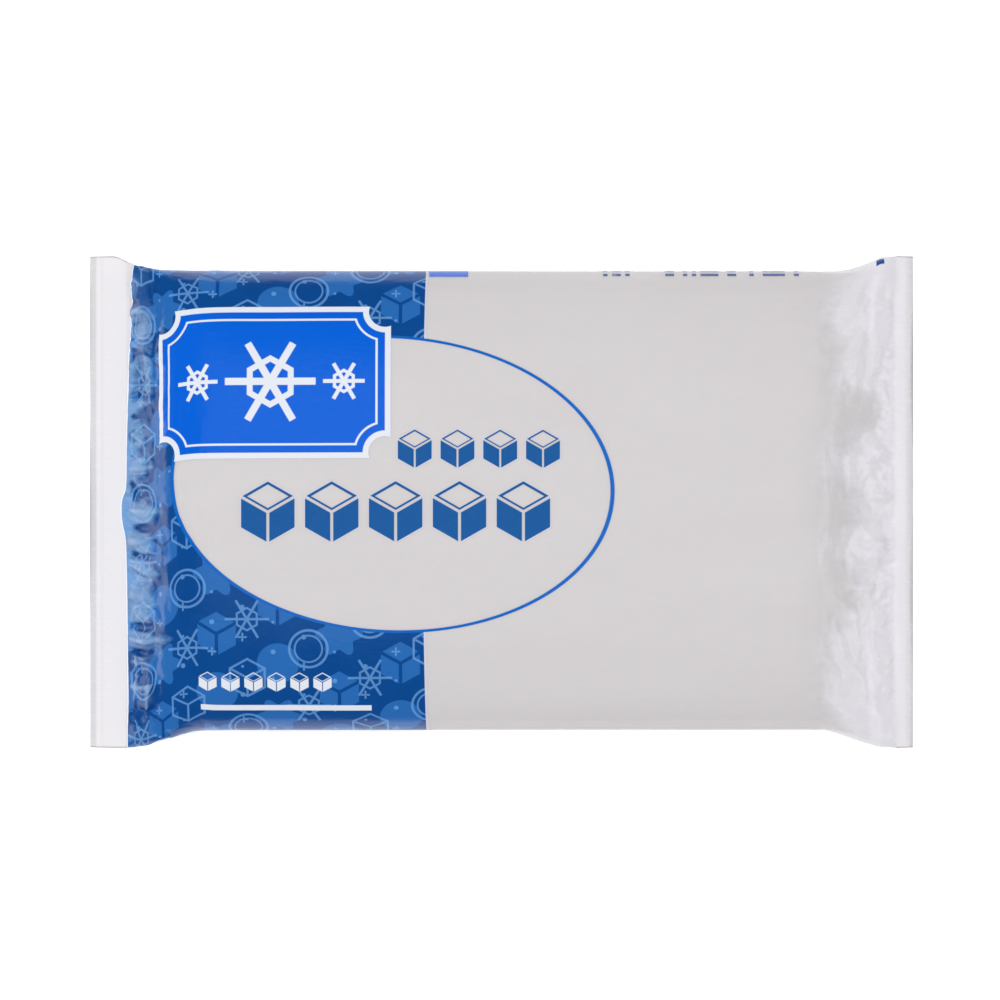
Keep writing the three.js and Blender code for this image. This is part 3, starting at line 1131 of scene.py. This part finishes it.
# plaque with scooped corners, then its margin, and the thin line and crystals on it
def plaqueShapes(tree, along, around):
    x, y = centred(tree, along, around, printing["plaque"])
    halfLong, halfWide = printing["plaque"][2:]
    wide, high = offBand(tree, x, halfLong), offBand(tree, y, halfWide)
    scoop = add(tree, "Math.SUBTRACT", printing["plaqueScoop"], fromMiddle(tree, wide, high))
    distance = combined(tree, "MAXIMUM", wide, high, scoop)
    lineInside, lineHalf = printing["plaqueLine"]
    line = offBand(tree, add(tree, "Math.ADD", distance, lineInside), lineHalf)
    apart, radius, half = printing["sideCrystals"]
    sideCrystals = offCrystal(tree, offBand(tree, x, apart), y, radius, half)
    crystals = combined(tree, "MINIMUM", offCrystal(tree, x, y, *printing["crystal"]), sideCrystals)
    margin = inside(tree, add(tree, "Math.SUBTRACT", distance, printing["plaqueMargin"]))
    details = combined(tree, "MAXIMUM", inside(tree, line), inside(tree, crystals))
    return inside(tree, distance), margin, details


# a row of cubes, then the white ink that shows round them
def cubeRow(tree, along, around, row):
    x, y = centred(tree, along, around, row)
    count, pitch, radius = row[2:]
    x = rowPlace(tree, x, count, pitch)
    whole = offHexagon(tree, x, y, radius)
    edges = offCubeEdges(tree, x, y, radius * motifs["cubeGap"])
    wide = add(tree, "Math.ABSOLUTE", x)
    lid = add(tree, "Math.MULTIPLY_ADD", wide, tangent30, radius * motifs["lidDrop"])
    lid = add(tree, "Math.SUBTRACT", lid, y)
    lid = combined(tree, "MAXIMUM", lid, add(tree, "Math.ADD", whole, radius * motifs["lidRim"]))
    gaps = combined(tree, "MINIMUM", edges, lid)
    faces = combined(tree, "MAXIMUM", whole, add(tree, "Math.MULTIPLY", gaps, -1))
    rim = inside(tree, add(tree, "Math.SUBTRACT", whole, printing["underprintEdge"] / 2))
    return inside(tree, faces), add(tree, "Math.SUBTRACT", rim, inside(tree, whole))


# a staggered lattice: the place in the nearest cell, and which of three kinds it is
def latticePlace(tree, along, around, lattice):
    pitch, shiftAlong, shiftAround = lattice
    column = add(tree, "Math.MULTIPLY_ADD", along, 1 / pitch, shiftAlong)
    columnNumber = add(tree, "Math.ROUND", column)
    odd = add(tree, "Math.FLOORED_MODULO", columnNumber, 2)
    stagger = add(tree, "Math.MULTIPLY_ADD", odd, 0.5, shiftAround)
    row = add(tree, "Math.MULTIPLY_ADD", around, 1 / pitch, stagger)
    rowNumber = add(tree, "Math.ROUND", row)
    x = add(tree, "Math.MULTIPLY", add(tree, "Math.SUBTRACT", column, columnNumber), pitch)
    y = add(tree, "Math.MULTIPLY", add(tree, "Math.SUBTRACT", row, rowNumber), pitch)
    number = add(tree, "Math.MULTIPLY_ADD", columnNumber, 2, rowNumber)
    return x, y, add(tree, "Math.FLOORED_MODULO", number, 3)


# the shapes of the three kinds, each in the cells of its own kind
def chosen(tree, number, *shapes):
    masks = []
    for kind, shape in enumerate(shapes):
        isKind = add(tree, "Math.COMPARE", number, kind, printing["kindMargin"])
        masks.append(add(tree, "Math.MULTIPLY", inside(tree, shape, printing["latticeSoft"]), isKind))
    return combined(tree, "MAXIMUM", *masks)


# the small motifs over the field: filled ones, and those in line with the sparks and dots
def fieldMotifs(tree, along, around):
    x, y, number = latticePlace(tree, along, around, printing["fills"])
    radius, half = motifs["solidCube"]
    flower = offPetals(tree, x, y, *motifs["flower"])
    disc = add(tree, "Math.SUBTRACT", fromMiddle(tree, x, y), motifs["disc"])
    faces = add(tree, "Math.MULTIPLY", offCubeEdges(tree, x, y, half), -1)
    solidCube = combined(tree, "MAXIMUM", offHexagon(tree, x, y, radius), faces)
    fills = chosen(tree, number, flower, disc, solidCube)

    x, y, number = latticePlace(tree, along, around, printing["outlines"])
    rings = [
        offBand(tree, add(tree, "Math.SUBTRACT", fromMiddle(tree, x, y), radius), half)
        for radius, half in motifs["rings"]
    ]
    radius, half = motifs["lineCube"]
    whole = offHexagon(tree, x, y, radius)
    edges = combined(tree, "MAXIMUM", offCubeEdges(tree, x, y, half), whole)
    lineCube = combined(tree, "MINIMUM", offBand(tree, whole, half), edges)
    crystal = offCrystal(tree, x, y, *motifs["lineCrystal"])
    outlines = chosen(tree, number, combined(tree, "MINIMUM", *rings), lineCube, crystal)

    x, y, number = latticePlace(tree, along, around, printing["dots"])
    spark = offPetals(tree, x, y, *motifs["spark"])
    dots = [add(tree, "Math.SUBTRACT", fromMiddle(tree, x, y), radius) for radius in motifs["dots"]]
    return fills, combined(tree, "MAXIMUM", outlines, chosen(tree, number, spark, *dots))


# print of the back, whose edge shows over the far side: broken rules, a small mark
def backPrint(tree, along, around):
    start, pitch, half = printing["backRows"]
    rows = add(tree, "Math.FLOORED_MODULO", add(tree, "Math.SUBTRACT", around, start), pitch)
    rows = offBand(tree, add(tree, "Math.SUBTRACT", rows, pitch / 2), half)
    perMm, bareShare, sharpness = printing["backBits"]
    bits = add(tree, "Math.FLOOR", add(tree, "Math.MULTIPLY", along, perMm))
    bits = add(tree, "TexWhiteNoise", bits, noise_dimensions="1D")
    gaps = add(tree, "Math.MULTIPLY", add(tree, "Math.SUBTRACT", bareShare, bits), sharpness)
    x, y = centred(tree, along, around, printing["backRules"])
    area = offBox(tree, x, y, *printing["backRules"][2:])
    rules = inside(tree, combined(tree, "MAXIMUM", rows, gaps, area))
    return combined(tree, "MAXIMUM", rules, boxMask(tree, along, around, printing["backMark"]))


# the same film where it is printed, in flat inks
def printedFilm():
    material, tree, flatMap, along, around = filmMaterial("printedPolyethyleneFilm")
    field, weldLine, fieldUnder = navyField(tree, along, around)
    panel, line = ovalPanel(tree, along, around)
    plaque, margin, details = plaqueShapes(tree, along, around)
    bigCubes, bigUnder = cubeRow(tree, along, around, printing["bigCubes"])
    smallCubes, smallUnder = cubeRow(tree, along, around, printing["smallCubes"])
    tinyCubes, _ = cubeRow(tree, along, around, printing["tinyCubes"])
    rule = boxMask(tree, along, around, printing["rule"])
    fills, outlines = fieldMotifs(tree, along, around)
    backRules = backPrint(tree, along, around)
    backBadge = boxMask(tree, along, around, printing["backBadge"])

    # inks, one over the other
    navyShade = add(tree, "TexNoise", flatMap, *filmFinish["navyShadeNoise"])
    ink = printOver(tree, "navy", "navyShade", navyShade)
    ink = printOver(tree, ink, "tint", add(tree, "Math.MULTIPLY", fills, printing["fillShare"]))
    ink = printOver(tree, ink, "tintLine", add(tree, "Math.MULTIPLY", outlines, printing["outlineShare"]))
    ink = printOver(tree, ink, "pale", combined(tree, "MAXIMUM", tinyCubes, rule))
    ink = printOver(tree, ink, "line", line)
    ink = printOver(tree, ink, "pale", margin)
    ink = printOver(tree, ink, "bright", plaque)
    ink = printOver(tree, ink, "pale", details)
    cubesUnder = combined(tree, "MAXIMUM", bigUnder, smallUnder)
    ink = printOver(tree, ink, "underprint", cubesUnder)
    cubes = combined(tree, "MAXIMUM", bigCubes, smallCubes)
    ink = printOver(tree, ink, "cubes", cubes)
    ink = printOver(tree, ink, "backInk", backRules)
    ink = printOver(tree, ink, "bright", backBadge)

    # how much ink covers the film, with the white ink under it past its edges
    bare = add(tree, "Math.SUBTRACT", 1, panel)
    inField = add(tree, "Math.MULTIPLY", field, bare)
    cover = combined(tree, "MAXIMUM", inField, line, margin, cubes, backRules, backBadge)
    fieldShare, cubeShare, fullAt = printing["underprintShare"]
    fieldUnder = add(tree, "Math.MULTIPLY", add(tree, "Math.MULTIPLY", fieldUnder, bare), fieldShare)
    cubesUnder = add(tree, "Math.MULTIPLY", cubesUnder, cubeShare)
    under = combined(tree, "MAXIMUM", fieldUnder, cubesUnder)
    under = add(tree, "Math.SUBTRACT", under, cover)
    ink = printOver(tree, ink, "underprint", add(tree, "MapRange", under, 0, fullAt, 0, 1))
    cover = combined(tree, "MAXIMUM", cover, under, weldLine)

    # where the film stands off the sugar the ink is painted paler, a painted sheen, and paler still on the
    # crests of creases, which are painted highlights
    standOffSheen = standingOff(tree, flatMap, *filmFinish["inkStands"])
    standOffSheen = add(tree, "Math.MULTIPLY", standOffSheen, byPlace(tree, around, printing["sheenShare"]))
    raised = add(tree, "Attribute", attribute_name="raised").outputs["Fac"]
    crestStart, crestFull, crestShare = filmFinish["crest"]
    crest = add(tree, "MapRange", raised, crestStart, crestFull, 0, crestShare)
    standOffSheen = combined(tree, "MAXIMUM", standOffSheen, crest)
    ink = printOver(tree, ink, "standOffSheen", add(tree, "Math.MULTIPLY", standOffSheen, filmFinish["sheenShare"]))
    # painted highlights on crests and along fine creases
    glint = add(tree, "Math.MULTIPLY", crest, filmFinish["glintShare"])
    glint = combined(tree, "MAXIMUM", glint, creaseHighlights(tree, flatMap, standOffSheen))
    ink = printOver(tree, ink, "glint", glint)
    ink = printOver(tree, ink, "weldLine", weldLine)
    milk, clear, _ = milkOf(tree, flatMap, along, around)
    alpha = add(tree, "MapRange", cover, 0, 1, clear, 1)
    filmSurface(tree, flatMap, printOver(tree, milk, ink, cover), alpha)
    return material


# granulated sugar: grains of half a millimetre, white in the mass and rough to the eye
def granulatedSugar():
    material, tree = newMaterial("granulatedSugar")
    place = add(tree, "TexCoord").outputs["Object"]
    grains = add(tree, "TexNoise", place, 1 / (sugar["grainSize"] * mm), 0)
    darker, lighter = [colour(tone) for tone in sugar["tones"]]
    tone = printOver(tree, darker, lighter, grains)
    bump = add(tree, "Bump", *sugar["grainBump"], None, grains)
    shader = add(tree, "BsdfPrincipled")
    tree.links.new(tone.outputs[2], shader.inputs["Base Color"])
    tree.links.new(bump.outputs[0], shader.inputs["Normal"])
    shader.inputs["Roughness"].default_value = sugar["roughness"]
    shader.inputs["IOR"].default_value = sugar["ior"]
    add(tree, "OutputMaterial", shader)
    return material


# the faces that get the printed film, past the edges of the print, in millimetres
printedFaces = {
    "pastPanel": (9, 14),
    "pastField": 3,
    "pastWeld": 5.5,
    "back": (92, flatMm(166, 0)[0]),  # from here round the film, to here along it
}
faceAlong, faceAround = [
    np.array([np.mean([flat[v] for v in face.vertices]) for face in fineMesh.polygons]) / mm
    for flat in (fineAlong, fineAround)
]
panelX, panelY, panelLong, panelWide = printing["panel"]
pastLong, pastWide = printedFaces["pastPanel"]
acrossPanel = (faceAround - panelY) / (panelWide + pastWide)
onPanel = np.hypot((faceAlong - panelX) / (panelLong + pastLong), acrossPanel) < 1
backAround, backAlong = printedFaces["back"]
overBack = (faceAround > backAround) & (faceAlong < backAlong)
plainFaces = (faceAlong > printing["navyEnd"] + printedFaces["pastField"]) & ~onPanel & ~overBack
plainFaces |= faceAlong < -printedFaces["pastWeld"]
filmTube.data.materials.clear()
filmTube.data.materials.append(printedFilm())
filmTube.data.materials.append(plainFilm())
fineMesh.polygons.foreach_set("material_index", plainFaces.astype(np.int32))
sugarBody.data.materials.clear()
sugarBody.data.materials.append(granulatedSugar())
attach(filmTube, "root")
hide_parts("sugar_bag")
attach(sugarBody, "root")
print("finishes made")


# floor, light and camera
studio = {
    "floorSize": 8,
    "floorDrop": 0.0003,
    "paper": "#fbfafb",
    "paperRoughness": 0.8,
    "floorGlow": 0.45,  # a lit table, which leaves no shadow round the bag
    "world": 0.19,  # not mirrored by gloss
    "lights": (  # name, place, width and height, watts, whether gloss mirrors it
        ("overhead", (-0.45, 0.1, 3.0), (2.4, 2.4), 94, False),
        ("leftStrip", (-1.9, 0.1, 0.75), (1.6, 0.5), 3, False),
        ("rightStrip", (1.9, -0.1, 0.75), (1.6, 0.5), 5, True),
    ),
    "frameWidth": 0.4247,  # across the picture, at the height of the side edges
    "cameraHeight": 2.6,
    "sensor": 36,
    "clip": (0.1, 30),
    "aim": (-0.00064, 0.00085),
}
ground = bmesh.new()
bmesh.ops.create_grid(ground, x_segments=1, y_segments=1, size=studio["floorSize"] / 2)
bmesh.ops.translate(ground, verts=ground.verts, vec=(0, 0, -studio["floorDrop"]))
groundMesh = bpy.data.meshes.new("floor")
ground.to_mesh(groundMesh)
ground.free()
floor = bpy.data.objects.new("floor", groundMesh)
bpy.context.collection.objects.link(floor)
floorMaterial, floorTree = newMaterial("whitePaper")
paper = add(floorTree, "BsdfPrincipled", colour(studio["paper"]))
paper.inputs["Roughness"].default_value = studio["paperRoughness"]
paper.inputs["Emission Color"].default_value = (1, 1, 1, 1)
paper.inputs["Emission Strength"].default_value = studio["floorGlow"]
add(floorTree, "OutputMaterial", paper)
floor.data.materials.append(floorMaterial)
floorMaterial.cycles.emission_sampling = "NONE"

world = bpy.data.worlds.new("studio")
world.use_nodes = True
world.node_tree.nodes["Background"].inputs["Color"].default_value = (1, 1, 1, 1)
world.node_tree.nodes["Background"].inputs["Strength"].default_value = studio["world"]
world.cycles_visibility.glossy = False
bpy.context.scene.world = world
for name, place, size, watts, mirrored in studio["lights"]:
    lamp = bpy.data.lights.new(name, "AREA")
    lamp.shape = "RECTANGLE"
    lamp.size, lamp.size_y = size
    lamp.energy = watts
    holder = bpy.data.objects.new(name, lamp)
    holder.location = place
    holder.rotation_euler = (-Vector(place)).to_track_quat("-Z", "Y").to_euler()
    holder.visible_glossy = mirrored
    bpy.context.collection.objects.link(holder)

lens = bpy.data.cameras.new("camera")
lens.sensor_width = studio["sensor"]
lens.lens = studio["sensor"] * (studio["cameraHeight"] - bag["edgeHeight"]) / studio["frameWidth"]
lens.clip_start, lens.clip_end = studio["clip"]
camera = bpy.data.objects.new("camera", lens)
camera.location = (*studio["aim"], studio["cameraHeight"])
bpy.context.collection.objects.link(camera)
bpy.context.scene.camera = camera
bpy.context.scene.view_settings.view_transform = "Standard"
